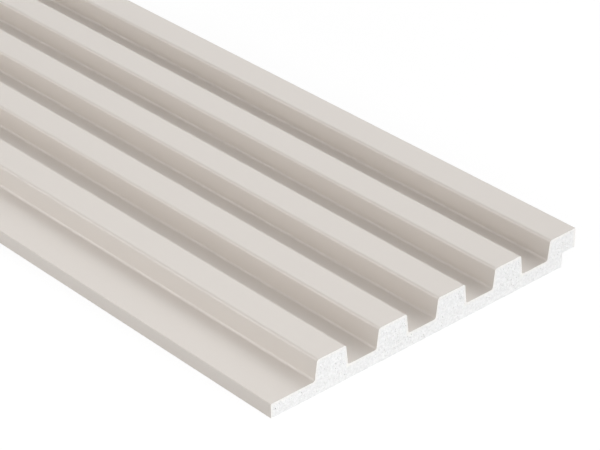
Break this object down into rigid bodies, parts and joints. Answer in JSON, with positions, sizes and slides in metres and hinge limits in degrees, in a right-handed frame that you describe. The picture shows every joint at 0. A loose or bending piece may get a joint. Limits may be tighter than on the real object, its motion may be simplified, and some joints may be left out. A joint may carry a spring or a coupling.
{
  "type": "decorative wall slat",
  "caption": "Long ribbed wall panel strip of film-faced foamed plastic, with leaning rib sides, a flat back and a half-lap joint along its edges.",
  "frame": {"origin": "middle of the length and of the overall width, on the flat back that lies on the floor", "axes": "+X along the length, +Y across the ribs from the flange to the lip, +Z out of the back towards the ribs"},
  "size_m": [2.65, 0.127, 0.012],
  "materials": {
    "faced_foam": "satin greige film on the ribbed face, bare white foamed polystyrene on the back and the cut ends"
  },
  "bodies": {
    "root": {"slat": "faced_foam"}
  },
  "joints": []
}
